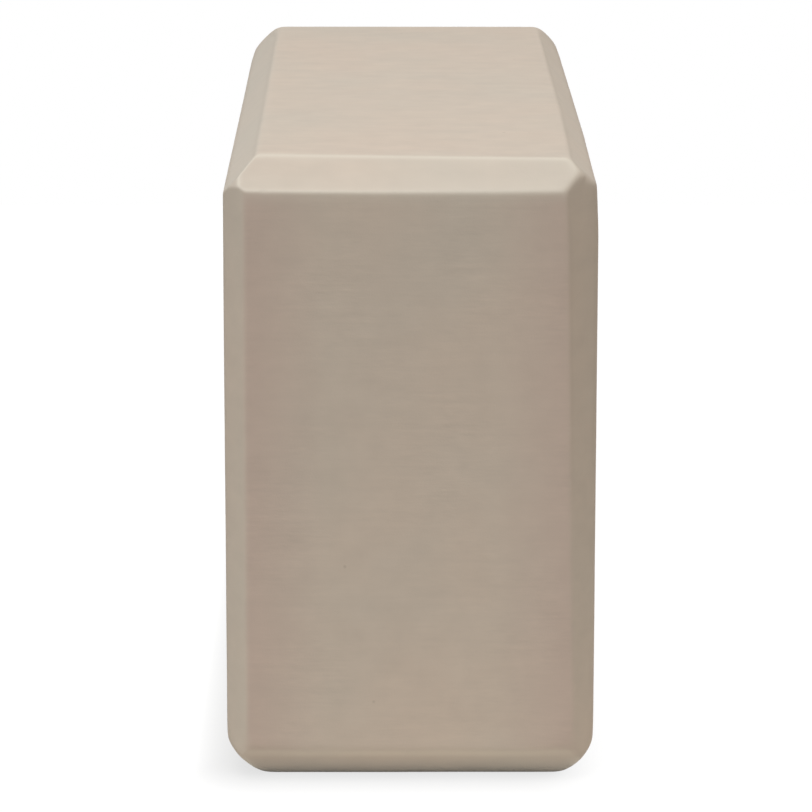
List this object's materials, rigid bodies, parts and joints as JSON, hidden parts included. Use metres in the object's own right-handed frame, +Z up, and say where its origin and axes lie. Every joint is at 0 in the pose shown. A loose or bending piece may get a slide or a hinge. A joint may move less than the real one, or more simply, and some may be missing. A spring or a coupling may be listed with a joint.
{
  "type": "yoga block",
  "caption": "Rectangular block of firm closed-cell foam with bevelled, softened edges, a stable support for hands, feet, hips or head in yoga poses.",
  "frame": {"origin": "middle of the base, on the surface that the block stands on", "axes": "+Z up, +Y along the block's length, +X across its thickness"},
  "size_m": [0.0888, 0.2286, 0.1524],
  "materials": {
    "foam": "matte beige closed-cell foam, cut and lightly sanded"
  },
  "bodies": {
    "root": {"foam_block": "foam"}
  },
  "joints": []
}
